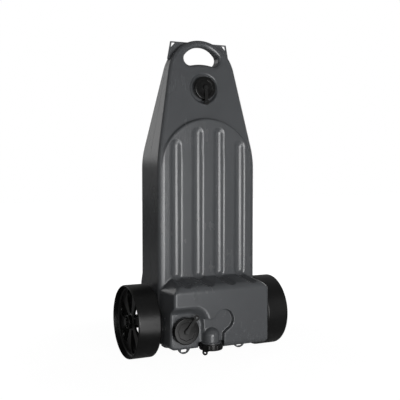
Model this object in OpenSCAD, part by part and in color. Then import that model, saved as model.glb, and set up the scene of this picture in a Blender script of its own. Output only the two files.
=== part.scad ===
// Portable waste water tank on two wheels, standing upright.
// Millimetres, Z up. The front faces -Y, the wheels stand on Z = 0, and X = 0 is the middle.

/* [Body] */
// Overall height, floor to the top of the grip
tank_h = 955.4; // [915:0.2:1005]
// Width of the straight part of the body
body_w = 324; // [310:2:340]
// Depth of the straight part of the body
body_d = 153; // [146:1:165]
// Back face of the body, measured from the middle of the footprint
back_y = 132.1; // [128:0.1:137]
// Height of the tapered part, from the end of the straight part to the top
taper_h = 358.4; // [335:0.2:385]
// Underside of the straight part, above the floor
body_bottom = 48; // [44:1:52]
// Wall of the moulding
wall = 3.5; // [2.8:0.1:4.5]
// Wall of the flat back, which the tank lies on
back_wall = 6; // [4:0.1:7]
// Rounding of the upright front edges
front_r = 13; // [10:0.5:18]
// Rounding of the upright back edges
back_r = 25; // [18:0.5:32]

/* [Grip] */
// Radius of the rounded top, seen from the front
hoop_r = 112; // [106:1:118]
// Half thickness of the grip, which is fully round
hoop_edge = 15; // [13:0.5:17]
// Depth from the body's back face to the middle of the grip
hoop_from_back = 91.5; // [86:0.5:97]
// Rounding of the two lobes of the finger hole
lobe_r = 20; // [17:0.5:22]
// How far the middle of the hole's arched top lies below the top of the grip
hole_drop = 92; // [88:0.5:96]
// Distance of the lobes from that middle
lobe_reach = 51.2; // [49:0.2:54]
// Direction of the lobes above the horizontal, in degrees
lobe_angle = 40.5; // [38:0.5:43]
// Radius of the hole's arched lower side
hole_sill_r = 150; // [130:1:170]
// How far the lower side arches up above the bottoms of the lobes
hole_sill_rise = 4.4; // [3.4:0.2:5.4]

/* [Ears] */
// Thickness of the thin ears at the parting line
ear_t = 4; // [3:0.1:5]
// How far the ears' level top edge lies below the top of the grip
ear_drop = 6.8; // [5:0.2:9]
// How far the ears lie behind the middle of the grip
ear_back = 6.5; // [4:0.5:8]
// Half width across the ears at their top
ear_hw = 94.6; // [90:0.2:98]
// Rim left round the three-cornered hole in each ear
ear_rim = 3.6; // [3:0.1:4.5]

/* [Panel] */
// Half width of the raised panel
panel_hw = 149; // [140:0.5:150]
// Radius of the panel's arched top
arch_r = 157; // [150:0.5:160]
// How far the middle of that arch lies below the start of the taper
arch_drop = 40; // [32:1:52]
// How far the panel stands out of the straight part
panel_step = 1; // [0.8:0.1:2]
// Rounding of the arch's edge
arch_edge_r = 5; // [3:0.5:8]
// Distance between the upright beads
bead_pitch = 71.3; // [68:0.1:73]
// Width of a bead where it meets the panel
bead_w = 30; // [24:0.5:34]
// Height of a bead above the panel
bead_h = 6.5; // [5:0.1:8]
// How far the inner beads' rounded ends lie below the top of the arch
bead_inner_drop = 30; // [24:1:40]
// The same for the outer beads
bead_outer_drop = 68; // [64:1:80]

/* [Base] */
// Depth of the base, from the body's back face to its front
base_d = 250; // [244:1:260]
// Width of the base's front
base_w = 311; // [306:1:316]
// Underside of the base, above the floor
base_bottom = 42; // [38:1:44]
// Height of the shelf where it meets the body
shelf_z = 238; // [230:1:246]
// Height of the shelf at its front edge
shelf_front_z = 223.5; // [216:0.5:228]
// Rounding of the base
base_r = 22; // [18:0.5:26]
// Rounding between the base's front face and its sides, top and bottom
base_edge = 8; // [6:0.5:10]
// Radius of the scallops in the shelf between the beads
scallop_r = 27; // [22:1:30]
// Depth of the scallops
scallop_depth = 6; // [4:0.5:8]

/* [Niche] */
// Depth of the niche round the inlet
niche_depth = 25; // [22:0.5:28]
// Top of the niche at its floor
niche_z = 147; // [144:1:150]
// Right side of the niche at its floor
niche_x = -59; // [-62:0.5:-57]
// Rounding of the niche's upper corner
niche_r = 44; // [38:1:48]
// How much wider the niche is at the front face than at its floor
niche_flare = 12; // [8:0.5:15]

/* [Pocket] */
// Radius of the round pocket above the drain
pocket_r = 31.5; // [29:0.5:34]
// Depth of that pocket
pocket_depth = 15; // [12:0.5:18]
// Middle of the pocket, to the right of the centre line
pocket_x = 5; // [3:0.5:7]
// Middle of the pocket, above the floor
pocket_z = 119.6; // [117:0.1:122]
// Right side of the pocket's neck
pocket_neck_x = 1; // [-1:0.5:3]
// Height of the waist, where the neck widens to the round part
pocket_waist_z = 77; // [74:0.5:79]
// Slope of the waist, in degrees
pocket_waist_angle = 39; // [34:1:44]
// Top of the neck where it opens into the niche
pocket_left_z = 126; // [120:0.5:130]

/* [Outlets] */
// Outer radius of the top and drain necks
neck_r = 30; // [28.5:0.5:31]
// Outer radius of the inlet neck
inlet_neck_r = 34.5; // [33:0.5:36]
// Wall of the necks
neck_wall = 4; // [3.5:0.1:5]
// Height of a cap
cap_h = 16.5; // [15:0.5:18]
// Wall of a cap's skirt
cap_wall = 4.2; // [3.8:0.1:5]
// Thickness of a cap's face
cap_face = 4; // [3.5:0.1:5]
// Radius of the ribs round a cap
cap_rib_r = 1.3; // [1:0.1:1.5]
// Number of ribs round a cap
cap_ribs = 24; // [18:1:30]
// Depth of the dish in a cap's face
cap_dish = 1.6; // [1:0.1:2]
// Thickness of a seal
seal_t = 2; // [1.5:0.1:3]
// Width of a seal
seal_w = 5; // [4:0.1:6]
// Thickness of a strap and of its collar
strap_t = 2.4; // [2:0.1:3]
// Width of a strap
strap_w = 10; // [8:0.5:12]
// Radius of a strap's lug
lug_r = 8.5; // [8:0.5:10]
// Radius of the eyelet in a lug
lug_hole_r = 3.4; // [3:0.1:4]
// Radius of a rivet's shank
rivet_r = 4; // [3.5:0.1:4.5]
// Radius of a rivet's head
rivet_head_r = 7; // [6.2:0.1:8]
// Thickness of a rivet's head
rivet_head_t = 2; // [1.5:0.1:2.5]
// How far the top outlet's axis lies below the top of the grip
top_drop = 147.4; // [141:0.2:155]
// Depth of the dish's floor, from the body's back face
top_floor = 115; // [112:1:118]
// Radius of the dish round the top outlet
dish_r = 47.5; // [45:0.5:50]
// Inlet axis, to the left of the centre line
inlet_x = -114; // [-116:0.5:-112]
// Height of the inlet's axis
inlet_z = 96; // [94:0.5:98]
// Drain axis, to the left of the centre line
drain_x = -32; // [-34:0.5:-30]
// Underside of the body at the drain, where its neck begins
drain_seat_z = 55.7; // [54:0.1:57]
// Radius of the column over the drain
column_r = 24; // [22:0.5:26]
// Height of the middle of the dome on that column
drain_dome_z = 74.5; // [70:0.5:78]

/* [Axle and wheels] */
// Radius of the wheels
wheel_r = 109.3; // [104:0.1:114]
// Width of a wheel
wheel_w = 74; // [70:0.5:78]
// Distance between the inner faces of the wheels
wheel_gap = 354; // [350:1:360]
// Distance of the axle from the body's back face
axle_from_back = 103.4; // [100:0.1:106]
// Radius of the axle
axle_r = 6; // [5:0.1:7]
// Radius of the tunnel's tube round the axle
tunnel_r = 10.5; // [9:0.5:12]
// Radius of the bosses on the body's sides
boss_r = 20; // [17:0.5:22]
// Radius of the wheel hubs
hub_r = 20; // [18:0.5:22]
// Thickness of the wheel's rim
rim_t = 6; // [5:0.1:8]
// Thickness of the spoked web
web_t = 8; // [6:0.5:10]
// Distance of the web's face inside the wheel's outer face
web_in = 20; // [16:0.5:24]
// Rounding of the tread's shoulders
shoulder_r = 7; // [5:0.5:9]
// Number of spokes
spokes = 6; // [5:1:7]
// Angle of the first spoke from straight up, towards the front
spoke_angle = 18; // [0:1:59]
// Radius of a wheel window's outer end
window_r = 22; // [18:0.5:24]
// Radius of a wheel window's inner end
window_inner_r = 8; // [6:0.5:10]
// Thickness of the washers
washer_t = 2; // [1.5:0.1:2.4]
// Radius of the washers
washer_r = 15; // [12:0.5:18]

/* [Feet and eyelets] */
// Width of the heel that the tank stands on
heel_w = 190; // [160:2:220]
// Depth of the heel
heel_d = 43; // [38:1:50]
// Distance between the middles of the two eyelets below the base
eyelet_gap = 187; // [180:1:194]
// Width of an eyelet's plate
eyelet_w = 40; // [36:1:44]
// Lowest point of the eyelets above the floor
eyelet_z = 13.4; // [10:0.2:16]
// Thickness of an eyelet's plate
eyelet_t = 6; // [5:0.5:8]

/* [Fits] */
// Radial clearance of the wheels on the axle, and of the axle in its tunnel
run_gap = 0.05; // [0.02:0.01:0.1]
// Gap between a cap and its neck, and between pieces that move past each other
free_gap = 0.4; // [0.3:0.05:0.6]
// Gap where one piece lies on another
seat_gap = 0.3; // [0.2:0.05:0.35]

/* [Hidden] */

tank_grey = [0.29, 0.3, 0.31];
cap_black = [0.07, 0.07, 0.08];
rubber_black = [0.12, 0.12, 0.12];
steel = [0.7, 0.71, 0.72];

// More than any cut or embedded end needs
far = 400;
// How deep one moulded form is sunk into another
sunk = 6;

body_hw = body_w / 2;
taper_z = tank_h - taper_h;
arch_z = taper_z - arch_drop;
bead_top_inner = arch_z + arch_r - bead_inner_drop;
bead_top_outer = arch_z + arch_r - bead_outer_drop;
ear_z = tank_h - ear_drop;
top_z = tank_h - top_drop;
body_y = back_y - body_d;
base_y = back_y - base_d;
base_hw = base_w / 2;
hoop_y = back_y - hoop_from_back;
hoop_z = tank_h - hoop_r;
hole_z = tank_h - hole_drop;
panel_y = body_y - panel_step;
ear_y = hoop_y + ear_back;
top_y = back_y - top_floor;
niche_y = base_y + niche_depth;
drain_y = base_y + pocket_depth;
axle_y = back_y - axle_from_back;
wheel_in = wheel_gap / 2;
wheel_out = wheel_in + wheel_w;
boss_x = wheel_in - washer_t - 2 * seat_gap;
hub_end = wheel_out - 6;
heel_y = back_y - 2 - heel_d;

// Stack of an outlet, outwards from the face that its neck stands on
collar_at = 1;
skirt_at = collar_at + strap_t + seat_gap;
face_at = skirt_at + cap_h;
neck_len = face_at - cap_face - seal_t - seat_gap;
strap_at = face_at + seat_gap;
head_at = strap_at + strap_t + seat_gap;

// Radius of a circle through a chord of width w that rises by h
function rise_radius(w, h) = (w * w / 4 + h * h) / (2 * h);
bead_r = rise_radius(bead_w, bead_h);
bead_y = panel_y - bead_h + bead_r;

// Turns a form that stands on Z so that it faces the front
module facing_front() rotate([90, 0, 0]) children();

// Turns a form that stands on Z so that it lies along X, to the left or the right
module facing_side(side) rotate([0, 90 * side, 0]) children();

module at_top() translate([0, top_y, top_z]) facing_front() children();
module at_inlet() translate([inlet_x, niche_y, inlet_z]) facing_front() children();
module at_drain() translate([drain_x, drain_y, drain_seat_z]) rotate([180, 0, 0]) children();

// The body's main form, inset by g, with the back inset by gb: straight slab, wedge taper and round grip
module body_form(g, gb) {
    hull() {
        for (side = [-1, 1], end = [0, 1]) {
            r = end == 0 ? front_r : back_r;
            y = end == 0 ? body_y + r : back_y - r - (gb - g);
            translate([side * (body_hw - r), y, body_bottom + r]) {
                sphere(r = r - g, $fn = 32);
                cylinder(r = r - g, h = taper_z - body_bottom - r, $fn = 32);
            }
        }
        translate([0, hoop_y, hoop_z]) facing_front()
            rotate_extrude($fn = 56) translate([hoop_r - hoop_edge, 0]) circle(r = hoop_edge - g, $fn = 28);
    }
}

// The base block, inset by g: shelf sloping down to the front, scalloped between the beads
module base_form(g) difference() {
    base_block(g);
    for (n = [-2, -1, 0, 1, 2])
        translate([n * bead_pitch, panel_y - 6, shelf_z + scallop_r - scallop_depth]) sphere(r = scallop_r + g);
}

// The base block, with every edge round
module base_block(g) {
    hull() for (side = [-1, 1]) {
        for (z = [base_bottom + base_r, shelf_front_z - base_r])
            translate([side * (base_hw - base_r), base_y + base_edge, z]) facing_front()
                rotate_extrude($fn = 32) translate([base_r - base_edge, 0]) circle(r = base_edge - g, $fn = 16);
        for (z = [base_bottom + base_r, shelf_z - base_r])
            translate([side * (body_hw - 2 - base_r), body_y, z]) sphere(r = base_r - g, $fn = 32);
        translate([side * (body_hw - 2 - base_r), body_y + body_d / 2, base_bottom + base_r])
            sphere(r = base_r - g, $fn = 32);
    }
}

// The raised panel with its arched top, inset by g
module panel_form(g) {
    depth = hoop_y - panel_y - g;
    intersection() {
        union() {
            translate([0, hoop_y, arch_z]) facing_front() rotate_extrude() {
                square([arch_r - g, depth - arch_edge_r]);
                square([arch_r - g - arch_edge_r, depth]);
                translate([arch_r - g - arch_edge_r, depth - arch_edge_r]) circle(r = arch_edge_r);
            }
            translate([-arch_r, panel_y + g, shelf_z - sunk]) cube([2 * arch_r, depth, arch_z - shelf_z + sunk]);
        }
        translate([-panel_hw + g, panel_y, shelf_z - sunk])
            cube([2 * (panel_hw - g), hoop_y - panel_y, far + far]);
    }
}

// Four upright beads with round ends, inset by g
module bead_forms(g) {
    for (n = [-1.5, -0.5, 0.5, 1.5]) {
        top = abs(n) > 1 ? bead_top_outer : bead_top_inner;
        translate([n * bead_pitch, bead_y, 0]) {
            translate([0, 0, shelf_z - sunk]) cylinder(r = bead_r - g, h = top - bead_w / 2 - shelf_z + sunk);
            translate([0, 0, top - bead_w / 2]) sphere(r = bead_r - g);
        }
    }
}

// The heel at the back that carries the tank with the wheels, inset by g
module heel_form(g) {
    r = 12;
    translate([0, 0, g]) linear_extrude(body_bottom + 2 * sunk) {
        square_at(heel_w - 2 * g, heel_y + g, heel_d - 2 * g, r - g);
    }
}

// Plan of a rounded rectangle, centred on X, from y to y + d
module square_at(w, y, d, r) {
    translate([-w / 2 + r, y]) square([w - 2 * r, d]);
    translate([-w / 2, y + r]) square([w, d - 2 * r]);
    for (x = [-w / 2 + r, w / 2 - r], v = [y + r, y + d - r]) translate([x, v]) circle(r = r);
}

// Outline of the finger hole, grown by g: two lobes, an arc above and an arched sill below
module grip_hole(g) {
    reach = [lobe_reach * cos(lobe_angle), lobe_reach * sin(lobe_angle)];
    low = reach[1] - lobe_r;
    for (side = [-1, 1]) translate([side * reach[0], reach[1]]) circle(r = lobe_r + g);
    difference() {
        intersection() {
            circle(r = lobe_reach + lobe_r + g - 0.4);
            polygon([[-reach[0], low + 1.2 - g], [reach[0], low + 1.2 - g], reach, 2 * reach,
                     [-2 * reach[0], 2 * reach[1]], [-reach[0], reach[1]]]);
        }
        translate([0, low + hole_sill_rise - hole_sill_r]) circle(r = hole_sill_r - g);
    }
}

// Outline of the niche at its floor, open to the left and below, grown by g
module niche_outline(g) {
    translate([niche_x - niche_r, niche_z - niche_r]) circle(r = niche_r + g);
    translate([-far, -far]) square([far + niche_x + g, far + niche_z - niche_r]);
    translate([-far, -far]) square([far + niche_x - niche_r, far + niche_z + g]);
}

// The niche: its outline flares towards the front face
module niche_cut(g) {
    hull() {
        translate([0, niche_y + g, 0]) facing_front() linear_extrude(1) niche_outline(g);
        translate([0, base_y, 0]) facing_front() linear_extrude(1) niche_outline(niche_flare + g);
    }
}

// Outline of the keyhole pocket, grown by g: round part, sloped waist, and a neck that runs down past the drain
module pocket_outline(g) {
    translate([pocket_x, pocket_z]) circle(r = pocket_r + g);
    translate([pocket_neck_x, pocket_waist_z]) rotate(pocket_waist_angle)
        translate([-30, -g]) square([60, 40 + g]);
    translate([niche_x - 1, -far]) square([pocket_neck_x + g - niche_x + 1, far + pocket_waist_z]);
    translate([niche_x - 1, 0]) square([pocket_x - niche_x, pocket_left_z + g]);
}

// Keyhole pocket, with room below it for the drain's cap to turn
module pocket_cut(g) {
    turn_r = neck_r + free_gap + cap_wall + cap_rib_r + 1.7;
    translate([0, drain_y + g, 0]) facing_front() linear_extrude(far) pocket_outline(g);
    translate([drain_x, drain_y, -1]) cylinder(r = turn_r + g, h = drain_seat_z + g + 1);
}

// Everything that is sunk into the outside of the moulding, grown by g for the wall behind it
module recesses(g) {
    translate([0, hoop_y + far / 2, hole_z]) facing_front() linear_extrude(far) grip_hole(g);
    translate([0, top_y + g, top_z]) facing_front() cylinder(r1 = dish_r - 4 + g, r2 = dish_r + 4 + g, h = 40);
    niche_cut(g);
    pocket_cut(g);
}

// Thin ears at the parting line, with three-cornered holes
module ears() {
    low_z = ear_z - 52;
    low_x = ear_hw + (body_hw - ear_hw) * 52 / (ear_z - taper_z);
    translate([0, ear_y + ear_t / 2, 0]) facing_front() linear_extrude(ear_t) for (side = [-1, 1]) {
        difference() {
            polygon([[0, ear_z], [side * ear_hw, ear_z], [side * low_x, low_z], [side * (low_x - 8), low_z - 24],
                     [0, low_z - 24]]);
            polygon([[side * (ear_hw - ear_rim), ear_z - ear_rim],
                     [side * (ear_hw - ear_rim - 12), ear_z - ear_rim],
                     [side * (ear_hw - ear_rim + 2.6), ear_z - ear_rim - 15]]);
        }
    }
}

// Eyelets on plates below the base
module eyelets() {
    slot_w = eyelet_w / 2;
    slot_h = eyelet_w / 4;
    mid_z = eyelet_z + 10;
    for (side = [-1, 1])
        translate([side * eyelet_gap / 2, eyelet_t / 2 - 45, 0]) facing_front() linear_extrude(eyelet_t)
            difference() {
                union() {
                    translate([0, eyelet_z + eyelet_w / 2]) circle(r = eyelet_w / 2);
                    translate([-eyelet_w / 2, eyelet_z + eyelet_w / 2])
                        square([eyelet_w, base_bottom + sunk / 2 - eyelet_z - eyelet_w / 2]);
                }
                translate([-slot_w / 2 + slot_h / 2, mid_z - slot_h / 2]) square([slot_w - slot_h, slot_h]);
                for (x = [-1, 1]) translate([x * (slot_w - slot_h) / 2, mid_z]) circle(r = slot_h / 2);
            }
}

// Hollow moulded body: the outside, less the same forms inset by the wall
module tank_shell() {
    color(tank_grey) difference() {
        union() {
            difference() {
                union() {
                    body_form(0, 0);
                    base_form(0);
                    panel_form(0);
                    bead_forms(0);
                    heel_form(0);
                    ears();
                    eyelets();
                    for (side = [-1, 1])
                        translate([side * (body_hw - sunk), axle_y, wheel_r]) facing_side(side)
                            cylinder(r = boss_r, h = boss_x - body_hw + sunk);
                }
                recesses(0);
                difference() {
                    union() {
                        body_form(wall, back_wall);
                        base_form(wall);
                        panel_form(wall);
                        bead_forms(wall);
                        heel_form(wall);
                    }
                    recesses(wall);
                    translate([-far, axle_y, wheel_r]) facing_side(1) cylinder(r = tunnel_r, h = 2 * far);
                }
            }
            at_top() translate([0, 0, -wall / 2]) cylinder(r = neck_r, h = neck_len + wall / 2);
            at_inlet() translate([0, 0, -wall / 2]) cylinder(r = inlet_neck_r, h = neck_len + wall / 2);
            at_drain() translate([0, 0, -wall]) cylinder(r = neck_r, h = neck_len + wall);
            translate([drain_x, drain_y, drain_seat_z])
                cylinder(r = column_r, h = drain_dome_z - drain_seat_z);
            translate([drain_x, drain_y, drain_dome_z]) sphere(r = column_r);
        }
        at_top() translate([0, 0, -2 * wall]) cylinder(r = neck_r - neck_wall, h = far / 2);
        at_inlet() translate([0, 0, -2 * wall]) cylinder(r = inlet_neck_r - neck_wall, h = far / 2);
        at_drain() cylinder(r = neck_r - neck_wall, h = far / 2);
        translate([drain_x, drain_y, -1]) cylinder(r = column_r - wall, h = drain_dome_z + 1);
        translate([drain_x, drain_y, drain_dome_z]) sphere(r = column_r - wall);
        translate([-far, axle_y, wheel_r]) facing_side(1) cylinder(r = axle_r + run_gap, h = 2 * far);
    }
}

// Steel rod through the tunnel
module axle() {
    color(steel) translate([-hub_end - 4, axle_y, wheel_r]) facing_side(1) cylinder(r = axle_r, h = 2 * hub_end + 8);
}

// Half section of a wheel, r across and the distance from the inner face upwards
module wheel_section() {
    web_top = wheel_w - web_in;
    difference() {
        union() {
            translate([wheel_r - rim_t, shoulder_r]) square([rim_t, wheel_w - 2 * shoulder_r]);
            translate([wheel_r - rim_t - 4, 0]) square([rim_t + 4 - shoulder_r, wheel_w]);
            for (z = [shoulder_r, wheel_w - shoulder_r]) translate([wheel_r - shoulder_r, z]) circle(r = shoulder_r);
        }
        translate([0, 4]) square([wheel_r - rim_t, wheel_w - 8]);
    }
    translate([axle_r, web_top - web_t]) square([wheel_r - rim_t - axle_r + 1, web_t]);
    square([hub_r, hub_end - wheel_in]);
}

// Egg-shaped window between two spokes, narrow end towards the hub
module wheel_window() {
    outer_at = wheel_r - rim_t - 6 - window_r;
    inner_at = hub_r + 5 + window_inner_r;
    lean = asin((window_r - window_inner_r) / (outer_at - inner_at));
    translate([0, outer_at]) circle(r = window_r);
    translate([0, inner_at]) circle(r = window_inner_r);
    polygon([for (p = [[inner_at, window_inner_r, 1], [outer_at, window_r, 1], [outer_at, window_r, -1],
                       [inner_at, window_inner_r, -1]])
        [p[2] * (p[1] - 0.4) * cos(lean), p[0] - (p[1] - 0.4) * sin(lean)]]);
}

module wheel(side) {
    color(cap_black) translate([side * wheel_in, axle_y, wheel_r]) facing_side(side) difference() {
        rotate_extrude() wheel_section();
        for (n = [0:spokes - 1])
            rotate([0, 0, side * 90 + side * (spoke_angle + (n + 0.5) * 360 / spokes)])
                translate([0, 0, 1]) linear_extrude(wheel_w) wheel_window();
        translate([0, 0, -1]) cylinder(r = axle_r + run_gap, h = wheel_w + 2);
    }
}

module left_wheel() wheel(-1);
module right_wheel() wheel(1);

module washer(side) {
    color(steel) translate([side * (boss_x + seat_gap), axle_y, wheel_r]) facing_side(side) difference() {
        cylinder(r = washer_r, h = washer_t);
        translate([0, 0, -1]) cylinder(r = axle_r + free_gap, h = washer_t + 2);
    }
}

module left_washer() washer(-1);
module right_washer() washer(1);

// Push-on cap over the end of the axle
module axle_cap(side) {
    color(cap_black) translate([side * (hub_end + seat_gap), axle_y, wheel_r]) facing_side(side) difference() {
        union() {
            cylinder(r = 2 * axle_r, h = 2);
            cylinder(r = 1.6 * axle_r, h = 5.4);
        }
        translate([0, 0, -1]) cylinder(r = axle_r + run_gap, h = 5);
    }
}

module left_axle_cap() axle_cap(-1);
module right_axle_cap() axle_cap(1);

// Screw cap on a neck of radius r: ribbed skirt, dished face, boss for the rivet
module cap(r) {
    skirt_r = r + free_gap + cap_wall;
    color(cap_black) difference() {
        union() {
            translate([0, 0, skirt_at]) cylinder(r = skirt_r, h = cap_h);
            for (n = [1:cap_ribs])
                rotate([0, 0, (n + 0.5) * 360 / cap_ribs])
                    translate([skirt_r - cap_rib_r / 3, 0, skirt_at + 2]) cylinder(r = cap_rib_r, h = cap_h - 4);
        }
        translate([0, 0, skirt_at - 1]) cylinder(r = r + free_gap, h = cap_h - cap_face + 1);
        translate([0, 0, face_at - cap_dish]) difference() {
            cylinder(r = 0.74 * skirt_r, h = cap_dish + 1);
            cylinder(r = rivet_head_r + 2, h = cap_dish + 1);
        }
        cylinder(r = rivet_r + run_gap, h = far);
    }
}

// Flat seal between a neck's end and its cap
module seal(r) {
    color(rubber_black) translate([0, 0, neck_len + seat_gap / 2]) difference() {
        cylinder(r = r - 0.5, h = seal_t);
        translate([0, 0, -1]) cylinder(r = r - 0.5 - seal_w, h = seal_t + 2);
    }
}

// Snap rivet that the strap's eye turns on
module rivet() {
    color(cap_black) {
        translate([0, 0, face_at - cap_face + 0.5]) cylinder(r = rivet_r, h = head_at - face_at + cap_face);
        translate([0, 0, head_at]) cylinder(r = rivet_head_r, h = rivet_head_t);
    }
}

// Retaining strap: collar on the neck, upright past the skirt, bar to the eye, lug beyond the rim
module tether(r, turn, hang) {
    skirt_r = r + free_gap + cap_wall + cap_rib_r;
    out = skirt_r + free_gap;
    eyelet_r = out + strap_t + lug_hole_r + 1;
    lug_at = strap_at + strap_t;
    color(cap_black) rotate([0, 0, turn]) difference() {
        union() {
            translate([0, 0, collar_at]) cylinder(r = r + free_gap + 3.5, h = strap_t);
            translate([r, -strap_w / 2, collar_at]) cube([out + strap_t - r, strap_w, strap_t]);
            translate([out, -strap_w / 2, collar_at]) cube([strap_t, strap_w, strap_at + strap_t - collar_at]);
            translate([0, -strap_w / 2, strap_at]) cube([out + strap_t, strap_w, strap_t]);
            translate([0, 0, strap_at]) cylinder(r = rivet_r + free_gap + 3, h = strap_t);
            if (hang) translate([out, 0, lug_at]) rotate([0, 90, 0]) cylinder(r = lug_r, h = strap_t);
            else translate([eyelet_r, 0, strap_at]) cylinder(r = lug_r, h = strap_t);
        }
        translate([0, 0, -1]) cylinder(r = r + free_gap, h = skirt_at + 1);
        translate([0, 0, strap_at - 1]) cylinder(r = rivet_r + free_gap, h = strap_t + 2);
        if (hang) translate([out - 1, 0, lug_at]) rotate([0, 90, 0]) cylinder(r = lug_hole_r, h = strap_t + 2);
        else translate([eyelet_r, 0, strap_at - 1]) cylinder(r = lug_hole_r, h = strap_t + 2);
    }
}

module top_cap() at_top() cap(neck_r);
module top_seal() at_top() seal(neck_r);
module top_tether() at_top() tether(neck_r, -86, false);
module top_rivet() at_top() rivet();
module inlet_cap() at_inlet() cap(inlet_neck_r);
module inlet_seal() at_inlet() seal(inlet_neck_r);
module inlet_tether() at_inlet() tether(inlet_neck_r, 51, false);
module inlet_rivet() at_inlet() rivet();
module drain_cap() at_drain() cap(neck_r);
module drain_seal() at_drain() seal(neck_r);
module drain_tether() at_drain() tether(neck_r, 144, true);
module drain_rivet() at_drain() rivet();

tank_shell();
axle();
left_wheel();
right_wheel();
left_washer();
right_washer();
left_axle_cap();
right_axle_cap();
top_cap();
top_seal();
top_tether();
top_rivet();
inlet_cap();
inlet_seal();
inlet_tether();
inlet_rivet();
drain_cap();
drain_seal();
drain_tether();
drain_rivet();
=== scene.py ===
"""Looks of the portable waste water tank: moulded grey shell, black wheels, screw caps with their straps.

Metres throughout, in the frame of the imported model: -Y is the front, Z is up, the wheels stand on Z = 0.
"""
import math

import bpy
import numpy as np
from mathutils import Matrix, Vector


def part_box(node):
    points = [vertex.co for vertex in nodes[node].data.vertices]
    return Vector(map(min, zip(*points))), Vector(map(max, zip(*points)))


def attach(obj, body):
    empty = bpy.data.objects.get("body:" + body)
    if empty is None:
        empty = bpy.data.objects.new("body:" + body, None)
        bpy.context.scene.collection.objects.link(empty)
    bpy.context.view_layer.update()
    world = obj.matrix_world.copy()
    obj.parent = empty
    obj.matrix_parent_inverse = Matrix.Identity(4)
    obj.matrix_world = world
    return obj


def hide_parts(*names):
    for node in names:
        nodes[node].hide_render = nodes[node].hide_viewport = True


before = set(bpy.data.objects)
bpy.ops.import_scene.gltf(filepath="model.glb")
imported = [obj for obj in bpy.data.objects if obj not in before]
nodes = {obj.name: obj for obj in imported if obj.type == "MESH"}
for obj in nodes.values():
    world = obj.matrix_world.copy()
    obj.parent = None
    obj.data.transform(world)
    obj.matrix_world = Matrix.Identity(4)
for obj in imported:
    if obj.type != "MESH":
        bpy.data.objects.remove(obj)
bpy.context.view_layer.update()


# ---------------------------------------------------------------- shader maths

class Wire:
    """A shader socket that takes part in sums: each operator adds one Math node behind it."""

    def __init__(self, paint, socket):
        self.paint, self.socket = paint, socket

    def _math(self, operation, *values):
        return self.paint.add("ShaderNodeMath", {"operation": operation}, *values)

    def __add__(self, other): return self._math("ADD", self, other)
    def __radd__(self, other): return self._math("ADD", other, self)
    def __sub__(self, other): return self._math("SUBTRACT", self, other)
    def __rsub__(self, other): return self._math("SUBTRACT", other, self)
    def __mul__(self, other): return self._math("MULTIPLY", self, other)
    def __rmul__(self, other): return self._math("MULTIPLY", other, self)
    def __truediv__(self, other): return self._math("DIVIDE", self, other)
    def __abs__(self): return self._math("ABSOLUTE", self)

    def least(self, other): return self._math("MINIMUM", self, other)
    def most(self, other): return self._math("MAXIMUM", self, other)

    def ramp(self, low, high):
        """0 below low, 1 above high, smooth between."""
        return self.paint.add("ShaderNodeMapRange", {"interpolation_type": "SMOOTHSTEP"}, self, low, high)


class Paint:
    """One material and its nodes."""

    def __init__(self, name, **surface):
        self.material = bpy.data.materials.new(name)
        self.material.use_nodes = True
        self.tree = self.material.node_tree
        self.surface = self.tree.nodes["Principled BSDF"]
        for socket, value in surface.items():
            self.surface.inputs[socket.replace("_", " ")].default_value = value
        place = self.tree.nodes.new("ShaderNodeTexCoord").outputs["Object"]
        self.place = Wire(self, place)
        split = self.add("ShaderNodeSeparateXYZ", {}, self.place).socket.node
        self.x, self.y, self.z = (Wire(self, s) for s in split.outputs)

    def add(self, kind, settings, *values, out=0, **named):
        """Adds a node, makes its settings, then fills its sockets in order or by name."""
        node = self.tree.nodes.new(kind)
        for key, value in settings.items():
            setattr(node, key, value)
        for key, value in list(enumerate(values)) + list(named.items()):
            socket = node.inputs[key]
            if isinstance(value, Wire):
                self.tree.links.new(value.socket, socket)
            else:
                socket.default_value = value
        return Wire(self, node.outputs[out])

    def noise(self, scale, detail=2.0, stretch=(1, 1, 1), rough=0.5):
        """Noise from 0 to 1 on object coordinates, stretched along the axes."""
        place = self.add("ShaderNodeMapping", {}, self.place, Scale=stretch)
        return self.add("ShaderNodeTexNoise", {}, Vector=place, Scale=scale, Detail=detail, Roughness=rough)

    def blend(self, factor, first, second):
        """Colour mix of two RGBA values or colour wires."""
        node = self.tree.nodes.new("ShaderNodeMix")
        node.data_type = "RGBA"
        for key, value in (("Factor", factor), ("A", first), ("B", second)):
            socket = next(s for s in node.inputs if s.name == key and s.enabled)
            if isinstance(value, Wire):
                self.tree.links.new(value.socket, socket)
            else:
                socket.default_value = value
        return Wire(self, next(s for s in node.outputs if s.enabled))

    def colour(self, wire): self.tree.links.new(wire.socket, self.surface.inputs["Base Color"])
    def roughness(self, wire): self.tree.links.new(wire.socket, self.surface.inputs["Roughness"])

    def relief(self, height, distance):
        """Bump: height in shares of distance, which is in metres."""
        bump = self.add("ShaderNodeBump", {}, Height=height, Distance=distance, Strength=1.0)
        self.tree.links.new(bump.socket, self.surface.inputs["Normal"])


def grey(value, tint=(1.0, 1.0, 1.0)):
    """RGBA of a grey, tinted."""
    return tuple(value * t for t in tint) + (1.0,)


# ---------------------------------------------------------------- materials

TANK_TINT = (0.955, 1.0, 1.06)
SEAM_TO_BACK = 0.085
SEAM_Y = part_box("tank_shell")[1].y - SEAM_TO_BACK


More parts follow.
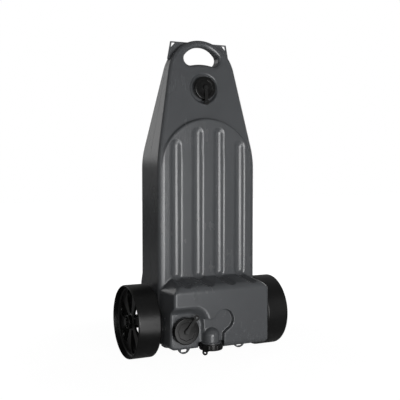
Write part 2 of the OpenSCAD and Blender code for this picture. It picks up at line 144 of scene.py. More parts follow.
def tank_plastic():
    """Blow-moulded polyethylene: fine sandblasted grain, soft mottling, faint upright draw lines and scratches, a
    mould line at the parting plane, and pale scuffs low on the base."""
    p = Paint("tank_plastic", Roughness=0.42)
    mottle = p.noise(9, 4)
    draw = p.noise(60, 2, (1, 1, 0.05))
    scratch = p.noise(700, 3, (1, 1, 0.02), 0.6).ramp(0.66, 0.72)
    low = 1 - p.z.ramp(0.03, 0.2)
    rubbed = p.noise(45, 5, (1, 1, 1), 0.7).ramp(0.56, 0.74) * low * 0.5
    scuff = rubbed.most(scratch * p.noise(7, 2).ramp(0.5, 0.7) * 0.16)
    plain = p.blend(mottle, grey(0.085, TANK_TINT), grey(0.1, TANK_TINT))
    p.colour(p.blend(scuff, plain, grey(0.15, TANK_TINT)))
    p.roughness(0.22 + mottle * 0.06 + draw * 0.03 + scuff * 0.25)
    grain = p.noise(1500, 2) * 0.04 + p.noise(420, 2) * 0.04
    line = 1 - abs(p.y - SEAM_Y).ramp(0.0002, 0.0009)
    p.relief(grain + mottle * 0.9 + draw * 0.12 + line * 0.3 - scratch * 0.1, 0.0005)
    return p.material


def black_plastic(name, tone, rough, grain_size, wear=0.0):
    """Moulded black plastic: grain, uneven gloss and a little grey dust or wear."""
    p = Paint(name, Specular_IOR_Level=0.32)
    cloud = p.noise(22, 4)
    grain = p.noise(grain_size, 2)
    dust = (p.noise(60, 6, (1, 1, 1), 0.7).ramp(0.5, 0.8)) * wear
    p.colour(p.blend(dust, p.blend(cloud, grey(tone * 0.8), grey(tone * 1.25)), grey(0.06)))
    p.roughness(rough - 0.06 + cloud * 0.12 + dust * 0.3)
    p.relief(grain * 0.2 + cloud * 0.4, 0.0003)
    return p.material


def steel():
    """Zinc-plated steel: fine turning marks round the axle and clouded zinc."""
    p = Paint("zinc_steel", Metallic=1.0)
    cloud = p.noise(130, 4)
    marks = p.noise(2600, 2, (1, 0.05, 0.05))
    p.colour(p.blend(cloud, grey(0.48), grey(0.66, (1, 1, 1.03))))
    p.roughness(0.26 + cloud * 0.16 + marks * 0.06)
    p.relief(marks * 0.6 + cloud * 0.3, 0.0001)
    return p.material


def dress(names, material):
    """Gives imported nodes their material."""
    for name in names:
        mesh = nodes[name].data
        mesh.materials.clear()
        mesh.materials.append(material)


shell_paint = tank_plastic()
wheel_paint = black_plastic("wheel_plastic", 0.005, 0.34, 900, 0.08)
cap_paint = black_plastic("cap_plastic", 0.0035, 0.2, 1400, 0.01)
strap_paint = black_plastic("strap_plastic", 0.004, 0.3, 1200, 0.02)
seal_paint = black_plastic("seal_rubber", 0.01, 0.6, 1800, 0.1)
steel_paint = steel()
dress(["tank_shell"], shell_paint)
dress(["left_wheel", "right_wheel", "left_axle_cap", "right_axle_cap"], wheel_paint)
dress(["top_cap", "inlet_cap", "drain_cap"], cap_paint)
dress([o + p for o in ("top", "inlet", "drain") for p in ("_tether", "_rivet")], strap_paint)
dress(["top_seal", "inlet_seal", "drain_seal"], seal_paint)
dress(["axle", "left_washer", "right_washer"], steel_paint)


# ---------------------------------------------------------------- the moulded skin, as one implicit surface

# Sizes of part.scad, in millimetres: Y is the depth of a face, lower towards the front
BACK = 132.1
BODY = -20.9
PANEL = -21.9
BASE = -117.9
NICHE = -92.9
POCKET = -102.9
SLAB_HALF = 162
SLAB_FOOT = 48
FRONT_Z, WEDGE_H = 597.0, 290
FRONT_EDGE, FRONT_EDGE_TOP = 13, 11
BACK_EDGE, BACK_EDGE_TOP, BACK_EDGE_LOW = 25, 11, 12
BACK_LOW_Z, BACK_LOW_RUN = 240, 30
HOOP, HOOP_R, HOOP_Z, HOOP_EDGE = 40.6, 112.0, 843.4, 15
HOLE_Z = 863.4
PANEL_HALF, ARCH_R, ARCH_Z, PANEL_FOOT = 149, 157, 557, 205
BASE_FOOT, BASE_REAR, BASE_HALF, BASE_HALF_REAR = 38.5, 45, 155.5, 160
SHELF_REAR, SHELF_FRONT, CORNER_CUT = 238, 223.5, 11
AXLE_Y, WHEEL_R = 28.7, 109.3
TOP_Y, TOP_Z, TOP_NECK_R = 17.1, 808.0, 30
INLET_X, INLET_Z, INLET_NECK_R = -114, 96, 34.5
DRAIN_X, DRAIN_Z, DRAIN_NECK_R = -32, 55.7, 30
NECK_LONG = 13.9
DISH_R, DISH_LEAN, DISH_RIM = 47.5, 0.2, 20
COLUMN_R, COLUMN_LOW, COLUMN_TOP, COLUMN_ROOM_R = 24, 56, 74.5, 38
HEEL_HALF, HEEL_Y, HEEL_DEEP, HEEL_TOP = 95, 108.6, 43, 60
BOSS_R, BOSS_X = 20, 170.4

# Niche: its right wall and roof at the niche's floor, how far each leans out, the radius between them
NICHE_WALL, NICHE_ROOF, WALL_LEAN, ROOF_LEAN, NICHE_CORNER = -59, 147, 12, 17, 44

# Keyhole pocket: its round part, the waist turned about its lower right corner, the left and upper limits
RING_X, RING_Z, RING_R = 5, 119.6, 31.5
WAIST_X, WAIST_Z, WAIST_TURN, WAIST_HALF, WAIST_LONG = 1, 77, 39, 30, 40
POCKET_LEFT, POCKET_TOP = -60, 126

# Finger hole, up from HOLE_Z: the lobes, the arc above and the sill's arc, whose middle lies below
LOBE_X, LOBE_UP, LOBE_R, LOBE_TURN = 38.9, 33.25, 20, 40.5
HOLE_ARC_R, SILL_R, SILL_DOWN, SILL_UP = 70.8, 150, 132.35, 14.4

# Each flute's middle and its upper end. FLUTE_BACK is its axis in front of the panel, FLUTE_OVER and FLUTE_DROP its
# run forward and down along the shelf
FLUTES = [(-106.95, 646.0), (-35.65, 684.0), (35.65, 684.0), (106.95, 646.0)]
FLUTE_R, FLUTE_BACK, FLUTE_FOOT, FLUTE_OVER, FLUTE_DROP = 21.5, 14.7, 252, 66, 10
FLUTE_SHIFT = 0.5


# In both(), either() and less() the last value is the radius of the edge or fillet.

def both(a, b, r):
    """Common part of two distance fields, its edge rounded with radius r: length of what exceeds -r on both."""
    u, v = np.maximum(a + r, 0), np.maximum(b + r, 0)
    return np.minimum(np.maximum(a, b), -r) + np.hypot(u, v)


def either(a, b, r):
    """Union of two distance fields with a fillet of radius r."""
    return -both(-a, -b, r)


def less(a, b, r):
    """First field without the second, its lip rounded with radius r."""
    return both(a, -b, r)


def bend(a, b, k):
    """Common part of two fields that meet at a flat angle: the greater, plus a parabola where they differ by less
    than k."""
    return np.maximum(a, b) + np.maximum(k - np.abs(a - b), 0) ** 2 / (4 * k)


def plane(u, v, u0, v0, u1, v1):
    """Distance beyond the line from point 0 to point 1, positive on its right-hand side."""
    n = np.array([v1 - v0, u0 - u1]) / math.hypot(u1 - u0, v1 - v0)
    return (u - u0) * n[0] + (v - v0) * n[1]


def lean_to(across, up, r):
    """Angle from upright of the line that passes a circle of radius r, across and up from the line's start."""
    return math.acos(r / math.hypot(across, up)) - math.atan2(up, across)


def body_field(x, y, z):
    """Straight slab below FRONT_Z, then a wedge whose four sides are tangent to the round ring of the grip."""
    ax, rise = np.abs(x), z - FRONT_Z
    ring_z = HOOP_Z + HOOP_R - HOOP_EDGE - FRONT_Z
    side_a = math.atan2(SLAB_HALF, HOOP_Z - FRONT_Z) - math.asin(HOOP_R / math.hypot(SLAB_HALF, HOOP_Z - FRONT_Z))
    front_a, back_a = lean_to(HOOP - BODY, ring_z, HOOP_EDGE), lean_to(BACK - HOOP, ring_z, HOOP_EDGE)
    side = bend(ax - SLAB_HALF, (ax - SLAB_HALF) * math.cos(side_a) + rise * math.sin(side_a), 7)
    ring = np.hypot(x, z - HOOP_Z) - HOOP_R
    side = np.where(z - HOOP_Z > ax * math.tan(side_a), ring, side)
    front = bend(BODY - y, (BODY - y) * math.cos(front_a) + rise * math.sin(front_a), 3)
    back = bend(y - BACK, (y - BACK) * math.cos(back_a) + rise * math.sin(back_a), 5)
    up = np.clip(rise / WEDGE_H, 0, 1)
    low = np.clip((BACK_LOW_Z - z) / BACK_LOW_RUN, 0, 1)
    front_edge = FRONT_EDGE + (FRONT_EDGE_TOP - FRONT_EDGE) * up
    back_edge = BACK_EDGE + (BACK_EDGE_TOP - BACK_EDGE) * up + (BACK_EDGE_LOW - BACK_EDGE) * low
    field = both(both(side, front, front_edge), back, back_edge)
    return both(field, SLAB_FOOT - z, 16)


def panel_field(x, y, z):
    """Panel with an arched top, one millimetre proud of the slab."""
    dome = np.where(z > ARCH_Z, np.hypot(x, z - ARCH_Z) - ARCH_R, np.abs(x) - ARCH_R)
    dome = bend(dome, np.abs(x) - PANEL_HALF, 4)
    flat = both(dome, PANEL - y, 6)
    flat = np.maximum(flat, y - HOOP)
    return np.maximum(flat, PANEL_FOOT - z)


def flute_field(x, y, z):
    """The four flutes: distance to a line down the panel, and to a line forward along the shelf, less the radius."""
    field = np.full(np.shape(x), 1e3)
    for middle, top in FLUTES:
        across = (x - middle + FLUTE_SHIFT) ** 2
        out = y - PANEL + FLUTE_BACK
        up = np.sqrt(across + out ** 2 + (z - np.clip(z, FLUTE_FOOT, top - 15)) ** 2) - FLUTE_R
        ahead = np.clip((PANEL - FLUTE_BACK - y) / FLUTE_OVER, 0, 1)
        rise = z - FLUTE_FOOT + ahead * FLUTE_DROP
        over = np.sqrt(across + (out + ahead * FLUTE_OVER) ** 2 + rise ** 2) - FLUTE_R
        field = np.minimum(field, np.minimum(up, over))
    return field


def base_field(x, y, z):
    """Base block: front and side faces, a shelf that falls to the front, slanted upper corners."""
    ax = np.abs(x)
    side = plane(ax, y, BASE_HALF, BASE, BASE_HALF_REAR, BODY)
    shelf = plane(y, z, PANEL, SHELF_REAR, BASE, SHELF_FRONT)
    field = both(BASE - y, np.maximum(side, ax - BASE_HALF_REAR), 8)
    field = both(both(field, shelf, 20), BASE_FOOT - z, 16)
    field = both(field, y - BASE_REAR, 12)
    corner = (ax - BASE_HALF + z - SHELF_FRONT) * math.sqrt(0.5) + CORNER_CUT
    return both(field, corner, 8)


def niche_field(x, y, z):
    """Niche round the inlet: open to the left and below, its walls leaning out towards the front."""
    out = np.clip((NICHE - y) / (NICHE - BASE), 0, 1.4)
    edge = both(x - NICHE_WALL - WALL_LEAN * out, z - NICHE_ROOF - ROOF_LEAN * out, NICHE_CORNER)
    return both(edge, y - NICHE, 6)


def pocket_field(x, y, z):
    """Keyhole pocket: round part, sloped waist, neck down past the drain."""
    ring = np.hypot(x - RING_X, z - RING_Z) - RING_R
    c, s = math.cos(math.radians(WAIST_TURN)), math.sin(math.radians(WAIST_TURN))
    u, v = (x - WAIST_X) * c + (z - WAIST_Z) * s, (z - WAIST_Z) * c - (x - WAIST_X) * s
    waist = np.maximum(np.abs(u) - WAIST_HALF, np.maximum(-v, v - WAIST_LONG))
    neck = np.maximum(np.maximum(x - WAIST_X, POCKET_LEFT - x), z - WAIST_Z)
    left = np.maximum(np.maximum(x - RING_X, POCKET_LEFT - x), z - POCKET_TOP)
    outline = np.minimum(np.minimum(ring, waist), np.minimum(neck, left))
    return both(outline, y - POCKET, 2)


def grip_field(x, z):
    """Finger hole: two lobes, an arc above them and an arched sill below."""
    ax, up = np.abs(x), z - HOLE_Z
    lobe = np.hypot(ax - LOBE_X, up - LOBE_UP) - LOBE_R
    wedge = ax * math.sin(math.radians(LOBE_TURN)) - up * math.cos(math.radians(LOBE_TURN))
    between = np.minimum(wedge, np.maximum(ax - LOBE_X, SILL_UP - up))
    sill = SILL_R - np.hypot(x, up + SILL_DOWN)
    arc = np.maximum(np.hypot(x, up) - HOLE_ARC_R, np.maximum(sill, between))
    return np.minimum(lobe, arc)


def skin_field(x, y, z):
    """The whole outside of the moulding, negative inside."""
    shape = either(body_field(x, y, z), panel_field(x, y, z), 5)
    shape = either(shape, base_field(x, y, z), 5)
    shape = less(shape, flute_field(x, y, z), 4)
    heel = both(np.abs(x) - HEEL_HALF, np.abs(y - HEEL_Y) - HEEL_DEEP / 2, 12)
    heel = both(heel, np.maximum(-z, z - HEEL_TOP), 1)
    shape = either(shape, heel, 4)
    boss = np.maximum(np.hypot(y - AXLE_Y, z - WHEEL_R) - BOSS_R, np.abs(x) - BOSS_X)
    shape = either(shape, boss, 4)
    shape = less(shape, niche_field(x, y, z), 7)
    shape = less(shape, pocket_field(x, y, z), 2.5)
    room = np.maximum(np.hypot(x - DRAIN_X, y - POCKET) - COLUMN_ROOM_R, z - DRAIN_Z)
    shape = less(shape, room, 1.5)
    rise = np.clip(z, COLUMN_LOW, COLUMN_TOP)
    column = np.sqrt((x - DRAIN_X) ** 2 + (y - POCKET) ** 2 + (z - rise) ** 2) - COLUMN_R
    shape = either(shape, column, 4)
    dish = both(np.hypot(x, z - TOP_Z) - DISH_R + (y - TOP_Y + DISH_RIM) * DISH_LEAN, y - TOP_Y, 5)
    shape = less(shape, dish, 4)
    shape = less(shape, grip_field(x, z), 11)
    for cx, cy, cz, r in ((0, TOP_Y, TOP_Z, TOP_NECK_R), (INLET_X, NICHE, INLET_Z, INLET_NECK_R)):
        neck = np.maximum(np.hypot(x - cx, z - cz) - r, np.maximum(y - cy - 2, cy - NECK_LONG - y))
        shape = np.minimum(shape, neck)
    neck = np.hypot(x - DRAIN_X, y - POCKET) - DRAIN_NECK_R
    neck = np.maximum(neck, np.maximum(z - 58, DRAIN_Z - NECK_LONG - z))
    return np.minimum(shape, neck)


# Wheel, in millimetres out from its inner side and from its own axle; each window is an egg between two circles
TREAD_W, BARREL_R, LIP_SLOPE = 74, 103.3, 0.13
WEB_IN, WEB_OUT = 46, 54
HUB_R, HUB_W, AXLE_BORE_R = 20, 68, 6.05
SEAT_R, SEAT_IN = 16.3, 62
WINDOWS, FIRST_WINDOW = 6, 18
EGG_FOOT, EGG_LONG, EGG_INNER_R, EGG_OUTER_R = 33, 42.3, 8, 22


def wheel_field(a, y, z):
    """Wheel round its own axle, a millimetres out from its inner side: drum with a thin outer lip, web with
    egg-shaped windows whose sides are tangent to their end circles, hub with a sunk ring."""
    r = np.hypot(y, z)
    drum = both(r - WHEEL_R, np.abs(a - TREAD_W / 2) - TREAD_W / 2, 6)
    wide = BARREL_R + LIP_SLOPE * np.maximum(a - WEB_OUT, 0)
    drum = less(drum, both(r - wide, WEB_OUT - a, 5), 1)
    drum = less(drum, both(r - BARREL_R, a - WEB_IN, 5), 1.5)
    lean = (EGG_OUTER_R - EGG_INNER_R) / EGG_LONG
    side = math.sqrt(1 - lean * lean)
    for n in range(WINDOWS):
        turn = math.radians(FIRST_WINDOW + 360 // WINDOWS * n)
        c, s = math.cos(turn), math.sin(turn)
        u, v = y * c + z * s - EGG_FOOT, np.abs(z * c - y * s)
        along = lean * v + side * u
        outer = np.hypot(u - EGG_LONG, v) - EGG_OUTER_R
        egg = np.where(along > side * EGG_LONG, outer, side * v - lean * u - EGG_INNER_R)
        egg = np.where(along < 0, np.hypot(u, v) - EGG_INNER_R, egg)
        drum = less(drum, egg, 2.2)
    hub = both(r - HUB_R, np.abs(a - HUB_W / 2) - HUB_W / 2, 2)
    drum = either(drum, hub, 5)
    drum = less(drum, np.maximum(r - SEAT_R, SEAT_IN - a), 1)
    return less(drum, r - AXLE_BORE_R, 0.5)


def wrap(field, low, high, step):
    """Surface nets: one point in each cell that the surface crosses, at the mean of its edges' crossings; one
    quad round each grid edge that it crosses; then each point slides down the gradient onto the surface."""
    axes = [np.arange(a - 2 * step, b + 2 * step, step) for a, b in zip(low, high)]
    size = np.array([len(a) for a in axes])
    value = np.empty(size, np.float32)
    for i in range(0, size[0], 16):
        part = np.meshgrid(axes[0][i:i + 16], axes[1], axes[2], indexing="ij")
        value[i:i + 16] = field(*part)
    inside = value < 0
    cells = size - 1
    total = np.zeros(tuple(cells) + (3,), np.float32)
    count = np.zeros(tuple(cells), np.float32)
    for axis in range(3):
        a, b = [slice(None)] * 3, [slice(None)] * 3
        a[axis], b[axis] = slice(None, -1), slice(1, None)
        va, vb = value[tuple(a)], value[tuple(b)]
        crossed = inside[tuple(a)] != inside[tuple(b)]
        share = np.where(crossed, va / np.where(va == vb, 1, va - vb), 0)
        others = [k for k in range(3) if k != axis]
        for du in (0, 1):
            for dv in (0, 1):
                s = [slice(None)] * 3
                s[others[0]] = slice(du, du + cells[others[0]])
                s[others[1]] = slice(dv, dv + cells[others[1]])
                hit = crossed[tuple(s)]
                count += hit
                total[..., axis] += share[tuple(s)] * hit
                total[..., others[0]] += du * hit
                total[..., others[1]] += dv * hit
    used = count > 0
    number = np.full(tuple(cells), -1, np.int64)
    number[used] = np.arange(used.sum())
    where = np.argwhere(used)
    origin = np.array([a[0] for a in axes])
    points = origin + (where + total[used] / count[used][:, None]) * step
    quads = []
    for axis in range(3):
        a, b = [slice(None)] * 3, [slice(None)] * 3
        a[axis], b[axis] = slice(None, -1), slice(1, None)
        first, second = inside[tuple(a)], inside[tuple(b)]
        at = np.argwhere(first != second)
        u, v = [(1, 2), (2, 0), (0, 1)][axis]
        at = at[(at[:, u] > 0) & (at[:, v] > 0) & (at[:, u] < cells[u]) & (at[:, v] < cells[v])]
        out = first[tuple(at.T)]
        ring = []
        for du, dv in ((1, 1), (0, 1), (0, 0), (1, 0)):
            c = at.copy()
            c[:, u] -= du
            c[:, v] -= dv
            ring.append(number[tuple(c.T)])
        ring = np.stack(ring, 1)
        ring[~out] = ring[~out][:, ::-1]
        quads.append(ring)
    quads = np.vstack(quads)
    return slide(field, points, 0.6 * step), quads


def slope(field, p):
    """Gradient of the field at each point, by central differences."""
    return np.stack([field(*(p + d).T) - field(*(p - d).T) for d in np.eye(3) * 0.05], 1) / 0.1


def slide(field, points, reach):
    """Newton steps down the gradient, each point kept within reach of where it began."""
    start = points
    for _ in range(4):
        g = slope(field, points)
        points = points - g * (field(*points.T) / np.maximum((g * g).sum(1), 0.1))[:, None]
        away = points - start
        length = np.linalg.norm(away, axis=1)[:, None]
        points = start + away * np.minimum(1, reach / np.maximum(length, 1e-9))
    return points


def refine(field, points, quads, spare, reach):
    """Quarters the quads over which the surface turns most, as many as spare allows; a neighbour that stays whole
    takes the new points into its outline."""
    g = slope(field, points)
    n = g / np.linalg.norm(g, axis=1)[:, None]
    turn = (n[quads] * n[np.roll(quads, -2, 1)]).sum(2).min(1)
    chosen = np.zeros(len(quads), bool)
    chosen[np.argsort(turn)[:spare]] = True
    ends = np.stack([quads, np.roll(quads, -1, 1)], 2).reshape(-1, 2)
    edges, which = np.unique(np.sort(ends, 1), axis=0, return_inverse=True)
    which = which.reshape(-1, 4)
    split = np.zeros(len(edges), bool)
    split[which[chosen]] = True
    middle = np.full(len(edges), -1)
    middle[split] = len(points) + np.arange(split.sum())
    centre = len(points) + split.sum() + np.arange(chosen.sum())
    added = np.vstack([points[edges[split]].mean(1), points[quads[chosen]].mean(1)])
    points = np.vstack([points, slide(field, added, reach)])
    mids, own = middle[which], quads[chosen]
    quarters = [np.stack([own[:, k], mids[chosen][:, k], centre, mids[chosen][:, k - 1]], 1) for k in range(4)]
    whole = np.stack([quads[~chosen], mids[~chosen]], 2).reshape(-1, 8)
    counts = np.concatenate([np.full(4 * len(own), 4), (whole >= 0).sum(1)])
    corners = np.concatenate([np.vstack(quarters).ravel(), whole[whole >= 0]])
    return points, corners, counts


# ---------------------------------------------------------------- mesh pieces

def piece(name, points, corners, counts, paint, normals=None, body="tank"):
    """One closed mesh from points in millimetres and faces given as runs of corners; smooth where it has normals."""
    mesh = bpy.data.meshes.new(name)
    mesh.vertices.add(len(points))
    mesh.vertices.foreach_set("co", (points * 0.001).astype(np.float32).ravel())
    mesh.loops.add(len(corners))
    mesh.loops.foreach_set("vertex_index", corners.astype(np.int32))
    mesh.polygons.add(len(counts))
    mesh.polygons.foreach_set("loop_start", (np.cumsum(counts) - counts).astype(np.int32))
    mesh.polygons.foreach_set("use_smooth", np.full(len(counts), normals is not None))
    mesh.update(calc_edges=True)
    mesh.validate()
    if normals is not None:
        mesh.normals_split_custom_set_from_vertices(normals.tolist())
    mesh.materials.append(paint)
    thing = bpy.data.objects.new(name, mesh)
    bpy.context.scene.collection.objects.link(thing)
    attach(thing, body)
    return thing


def skin_piece(name, points, quads, spare):
    """Part of the moulding's skin, quartered where it turns most, with normals from the field's gradient."""
    used, quads = np.unique(quads, return_inverse=True)
    points, corners, counts = refine(skin_field, points[used], quads.reshape(-1, 4), spare, 1.5)
    normals = slope(skin_field, points)
    normals /= np.linalg.norm(normals, axis=1)[:, None]
    edge = np.sort(np.stack([corners, next_corner(corners, counts)], 1), 1)
    ends, times = np.unique(edge, axis=0, return_counts=True)
    rim = np.unique(ends[times == 1])
    rim = rim[np.argsort(rim_order(points[rim]))]
    down = points[rim, 2].mean() < points[:, 2].mean()
    corners = np.concatenate([corners, rim[::-1] if down else rim])
    counts = np.append(counts, len(rim))
    return piece(name, points, corners, counts, shell_paint, normals)


def next_corner(corners, counts):
    """The corner after each in its own face."""
    after = np.arange(1, len(corners) + 1)
    last = np.cumsum(counts)
    after[last - 1] = last - counts
    return corners[after]


def rim_order(points):
    """Place of each point along the outline round the tank's middle, anticlockwise from above."""
    return np.arctan2(points[:, 1] - MIDDLE_Y, points[:, 0])


def plate(name, outline, hole, y, thick):
    """Flat plate across y with one hole: rays from the hole's middle meet both outlines, and four strips of quads
    join the rings of front, outer edge, back and inner edge."""
    outline, hole = np.array(outline, float), np.array(hole, float)
    mid = hole.mean(0)
    turn = np.concatenate([np.linspace(-math.pi, math.pi, 48, False)]
                          + [np.arctan2(*(o - mid).T[::-1]) for o in (outline, hole)])
    turn = np.unique(turn.round(9))

    def reach(o):
        """Where the ray at each turn first meets the outline o."""
        a, b = o - mid, np.roll(o, -1, 0) - mid
        d = np.stack([np.cos(turn), np.sin(turn)], 1)[:, None]
        e = b - a
        det = d[..., 0] * e[:, 1] - d[..., 1] * e[:, 0]
        det = np.where(np.abs(det) < 1e-9, 1e-9, det)
        t = (a[:, 0] * e[:, 1] - a[:, 1] * e[:, 0]) / det
        u = (a[:, 0] * d[..., 1] - a[:, 1] * d[..., 0]) / det
        t = np.where((u > -1e-6) & (u < 1 + 1e-6) & (t > 0), t, np.inf).min(1)
        return mid + d[:, 0] * t[:, None]

    rings = [(reach(hole), y - thick / 2), (reach(outline), y - thick / 2),
             (reach(outline), y + thick / 2), (reach(hole), y + thick / 2)]
    points = np.vstack([np.stack([r[:, 0], np.full(len(r), at), r[:, 1]], 1) for r, at in rings])
    n = len(turn)
    i = np.arange(n)
    j = (i + 1) % n
    strips = [(k * n, (k + 1) % 4 * n) for k in range(4)]
    quads = np.vstack([np.stack([here + i, there + i, there + j, here + j], 1) for here, there in strips])
    thing = piece(name, points, quads.ravel(), np.full(len(quads), 4), shell_paint)
    bevel = thing.modifiers.new("edge", "BEVEL")
    bevel.width, bevel.segments = 0.0007, 2
    bevel.limit_method, bevel.angle_limit = "ANGLE", math.radians(50)
    return thing


def lathe(rows, turns):
    """Closed form of turned rows, each a radius at every angle and a height; the first and last end in one point."""
    n = len(turns)
    rings = [np.stack([r * np.cos(turns), r * np.sin(turns), np.full(n, float(h))], 1) for r, h in rows[1:-1]]
    points = np.vstack(rings + [[(0, 0, rows[0][1]), (0, 0, rows[-1][1])]])
    i = np.arange(n)
    j = (i + 1) % n
    last = len(rows) - 3
    quads = np.vstack([np.stack([k * n + i, k * n + j, (k + 1) * n + j, (k + 1) * n + i], 1) for k in range(last)])
    foot, head = np.full(n, (last + 1) * n), np.full(n, (last + 1) * n + 1)
    fans = np.vstack([np.stack([foot, j, i], 1), np.stack([head, last * n + i, last * n + j], 1)])
    return points, np.concatenate([quads.ravel(), fans.ravel()]), np.repeat([4, 3], [len(quads), 2 * n])


def broad_normals(points, corners, counts):
    """Normal of each point, the mean of its faces' by the square of their area, so that broad faces stay flat beside
    small rounds."""
    first = np.cumsum(counts) - counts
    a, b = corners[first], corners[first + 1]
    c, d = corners[first + 2], corners[first + counts - 1]
    n = np.cross(points[c] - points[a], points[d] - points[b])
    n[counts == 3] = np.cross(points[b] - points[a], points[c] - points[a])[counts == 3]
    total = np.zeros_like(points)
    size = np.linalg.norm(n, axis=1)[:, None]
    for corner in (a, b, c, d):
        np.add.at(total, corner, n * size)
    return total / np.maximum(np.linalg.norm(total, axis=1), 1e-12)[:, None]


CAP_STEPS, RIBS, RIB_HIGH, RIM_R = 240, 24, 0.85, 2.8


def screw_cap(name, neck_r, place, out, spin):
    """Screw cap: a skirt whose radius swells into ribs, by a power of the cosine, a round rim, and a face with an
    eight-sided sunk field round the rivet's boss. Heights are from the neck's foot."""
    turns = np.arange(CAP_STEPS) * 2 * math.pi / CAP_STEPS
    rib = np.maximum(0, np.cos(turns * RIBS)) ** 1.5 * RIB_HIGH
    bore, full, foot, face = neck_r + 0.4, neck_r + 4.6, 3.7, 20.2
    edge = full - RIM_R
    eighth = math.pi / 4
    side = 0.66 * full / np.cos((turns + eighth / 2) % eighth - eighth / 2)
    even = np.ones(CAP_STEPS)
    inside = [(0 * even, face - 4), (bore * even, face - 4), (bore * even, foot), ((full - 0.9) * even, foot)]
    skirt = [((full - 0.2) * even, foot + 0.3), (full * even, foot + 1.2), (full + rib * 0.6, foot + 2),
             (full + rib, foot + 3), (full + rib, face - 4.4), (full + rib * 0.6, face - 3.6)]
    rim = [((edge + RIM_R * math.cos(a)) * even, face - RIM_R + RIM_R * math.sin(a))
           for a in np.radians([0, 15, 30, 45, 60, 75, 90])]
    field = [(0.5 * (side + edge), face), (side + 0.9, face), (side + 0.3, face - 0.15),
             (side - 0.5, face - 1.3), (side - 1.1, face - 1.5), (0.5 * side + 5, face - 1.5)]
    boss = [(9.9 * even, face - 1.5), (9.4 * even, face - 1.3), (9.1 * even, face - 0.2), (8.7 * even, face),
            (0 * even, face)]
    points, corners, counts = lathe(inside + skirt + rim + field + boss, turns + math.radians(spin))
    out = np.array(out, float)
    right = np.cross((0, 0, 1), out) if abs(out[2]) < 0.5 else np.array([1.0, 0, 0])
    points = place + points @ np.stack([right, np.cross(out, right), out])
    thing = piece(name + "_cap_form", points, corners, counts, cap_paint,
                  broad_normals(points, corners, counts), name + "_closure")
    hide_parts(name + "_cap")


# ---------------------------------------------------------------- the pieces

CUT_Z, MIDDLE_Y = 262, 55
EAR_Y, EAR_THICK, LUG_X, LUG_Y, LUG_THICK, LUG_Z, LUG_TOP, LUG_R = 47.1, 4, 93.5, -45, 6, 33.4, 45, 20
SLOT_Z, SLOT_R = 23.4, 5
WHEEL_IN = 177


def shell():
    """The moulding in two pieces, cut level below the panel, with finer faces on the base."""
    points, quads = wrap(skin_field, (-172, -130, 0), (172, 134, 958), 2.8)
    height = points[quads, 2].mean(1)
    return [skin_piece("moulded_body", points, quads[height > CUT_Z], 2000),
            skin_piece("moulded_base", points, quads[height <= CUT_Z], 15000)]


def ear(side):
    """Thin ear beside the grip, with its three-cornered hole."""
    outline = [(side * 36, 948.6), (side * 94.6, 948.6), (side * 104.5, 896.6), (side * 96.5, 872.6),
               (side * 90, 876), (side * 79, 902), (side * 60, 921), (side * 36, 935)]
    hole = [(side * 91, 945), (side * 79, 945), (side * 93.6, 930)]
    return plate(("left_ear", "right_ear")[side > 0], outline[::side], hole[::side], EAR_Y, EAR_THICK)


def eyelet(side):
    """Round-ended lug below the base, with its level slot."""
    arc = [math.radians(a) for a in range(180, 361, 12)]
    lug = [(side * LUG_X + LUG_R * math.cos(a), LUG_Z + LUG_R * math.sin(a)) for a in arc]
    lug += [(side * LUG_X + LUG_R, LUG_TOP), (side * LUG_X - LUG_R, LUG_TOP)]
    slot = [(side * LUG_X + (end + math.cos(math.radians(a))) * SLOT_R, SLOT_Z + SLOT_R * math.sin(math.radians(a)))
            for end, first in ((-1, 90), (1, 270)) for a in range(first, first + 181, 20)]
    return plate(("left_eyelet", "right_eyelet")[side > 0], lug, slot, LUG_Y, LUG_THICK)


def wheels():
    """One wheel's skin, placed on the right and mirrored on the left with its faces turned round again."""
    points, quads = wrap(wheel_field, (0, -110, -110), (TREAD_W, 110, 110), 2)
    used, quads = np.unique(quads, return_inverse=True)
    points, corners, counts = refine(wheel_field, points[used], quads.reshape(-1, 4), 9000, 1)
    normals = slope(wheel_field, points)
    normals /= np.linalg.norm(normals, axis=1)[:, None]
    for side in (-1, 1):
        turned = corners if side > 0 else corners[::-1]
        place = points * (side, 1, 1) + (side * WHEEL_IN, AXLE_Y, WHEEL_R)
        name = ("left_wheel", "right_wheel")[side > 0]
        form = piece(name + "_form", place, turned, counts[::side], wheel_paint,
                     normals * (side, 1, 1), name)
        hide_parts(name)


for part in shell() + [make(side) for side in (-1, 1) for make in (ear, eyelet)]:
    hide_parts("tank_shell")
wheels()
screw_cap("top", TOP_NECK_R, (0, TOP_Y, TOP_Z), (0, -1, 0), 8)
screw_cap("inlet", INLET_NECK_R, (INLET_X, NICHE, INLET_Z), (0, -1, 0), 18)
screw_cap("drain", DRAIN_NECK_R, (DRAIN_X, POCKET, DRAIN_Z), (0, 0, -1), 7.5)


# ---------------------------------------------------------------- stage

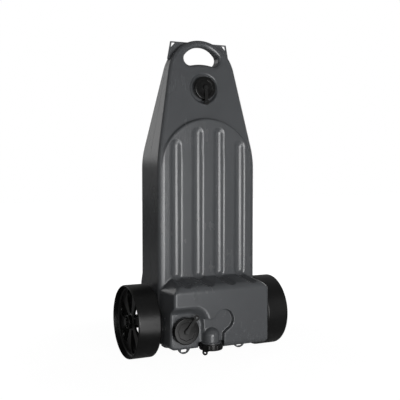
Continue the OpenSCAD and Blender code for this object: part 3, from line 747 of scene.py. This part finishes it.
def stage_floor():
    """Wide pale floor: white to the camera further out, near the object partly its own lit and shadowed grey. In
    reflections only, a bright patch painted on the floor in front glows: a painted reflection standing in for the
    front softbox's light there. Its sides are lines through a point just behind the origin, so it spreads forward."""
    mesh = bpy.data.meshes.new("floor")
    mesh.from_pydata([(-9, -9, 0), (9, -9, 0), (9, 9, 0), (-9, 9, 0)], [], [(0, 1, 2, 3)])
    floor = bpy.data.objects.new("floor", mesh)
    bpy.context.scene.collection.objects.link(floor)
    p = Paint("pale_floor", Base_Color=(0.9, 0.9, 0.9, 1), Roughness=0.9, Specular_IOR_Level=0.1)
    away = p.add("ShaderNodeVectorMath", {"operation": "LENGTH"}, p.place, out="Value")
    seen = p.add("ShaderNodeLightPath", {}, out="Is Camera Ray")
    share = seen * (0.8 + away.ramp(0.4, 1.8) * 0.2)
    # Painted reflection: a patch of the floor that glows only to glossy rays, in place of the softbox's light on it
    aside = p.x / (0.05 - p.y.least(-0.02))
    painted_reflection_mask = (1 - aside.ramp(-0.1, 0.3)) * aside.ramp(-0.6, -0.3) * (1 - p.y.ramp(-0.4, -0.15))
    painted_reflection_glow = p.add("ShaderNodeLightPath", {}, out="Is Glossy Ray") * painted_reflection_mask
    share = share.most(painted_reflection_glow)
    glow = p.add("ShaderNodeEmission", {}, Strength=seen * 1.2 + painted_reflection_glow * 5)
    mix = p.add("ShaderNodeMixShader", {}, share, Wire(p, p.surface.outputs[0]), glow)
    p.tree.links.new(mix.socket, p.tree.nodes["Material Output"].inputs[0])
    mesh.materials.append(p.material)


def sky():
    """World light: white to the camera, dark grey in reflections, near black as light on the object."""
    world = bpy.data.worlds.new("studio")
    bpy.context.scene.world = world
    world.use_nodes = True
    tree = world.node_tree
    path = tree.nodes.new("ShaderNodeLightPath")
    level = tree.nodes.new("ShaderNodeMath")
    level.operation = "MULTIPLY_ADD"
    level.inputs[1].default_value, level.inputs[2].default_value = 0.18, 0.03
    most = tree.nodes.new("ShaderNodeMath")
    most.operation = "MAXIMUM"
    tree.links.new(path.outputs["Is Glossy Ray"], level.inputs[0])
    tree.links.new(path.outputs["Is Camera Ray"], most.inputs[0])
    tree.links.new(level.outputs[0], most.inputs[1])
    tree.nodes["Background"].inputs[0].default_value = (1, 1, 1, 1)
    tree.links.new(most.outputs[0], tree.nodes["Background"].inputs[1])


def lamp(name, azimuth, distance, height, width, tall, power):
    """Area light in metres and watts, turned to the tank's middle. An azimuth of 0 degrees is the object's front, a
    negative one is on its left."""
    data = bpy.data.lights.new(name, "AREA")
    data.shape, data.size, data.size_y, data.energy = "RECTANGLE", width, tall, power
    turn = math.radians(azimuth)
    place = np.array([math.sin(turn) * distance, -math.cos(turn) * distance, height])
    back = place - np.array((0, 0, 0.5))
    back /= np.linalg.norm(back)
    right = np.cross((0, 0, 1), back)
    right /= np.linalg.norm(right)
    up = np.cross(back, right)
    light = bpy.data.objects.new(name, data)
    m = np.eye(4)
    m[:3, 0], m[:3, 1], m[:3, 2], m[:3, 3] = right, up, back, place
    light.matrix_world = Matrix(m.tolist())
    bpy.context.scene.collection.objects.link(light)


stage_floor()
sky()
lamp("front_softbox", 0, 2.5, 0.46, 1.4, 0.9, 35)
lamp("left_strip", -45, 2.5, 0.9, 0.4, 1.8, 4)
lamp("right_fill", 50, 2.6, 0.9, 0.8, 1.6, 2)
lamp("back_left", -155, 2.6, 1.4, 1.0, 1.4, 5)
lamp("rim_right", 118, 2.6, 0.9, 0.5, 1.8, 9)


FOCAL_PX, PICTURE_PX, SENSOR = 731.12, 400, 36
CAMERA_AT = (-0.99536, -1.99663, 0.57192)


def camera():
    """Placed by a fit of the object's corners and wheel outlines in the photograph."""
    forward = np.array([0.43938, 0.89709, -0.04673])
    forward /= np.linalg.norm(forward)
    right = np.cross(forward, (0, 0, 1))
    right /= np.linalg.norm(right)
    up = np.cross(right, forward)
    data = bpy.data.cameras.new("camera")
    data.sensor_width = SENSOR
    data.lens = FOCAL_PX * SENSOR / PICTURE_PX
    view = bpy.data.objects.new("camera", data)
    m = np.eye(4)
    m[:3, 0], m[:3, 1], m[:3, 2], m[:3, 3] = right, up, -forward, CAMERA_AT
    view.matrix_world = Matrix(m.tolist())
    bpy.context.scene.collection.objects.link(view)
    bpy.context.scene.camera = view


camera()
bpy.context.scene.view_settings.view_transform = "Standard"
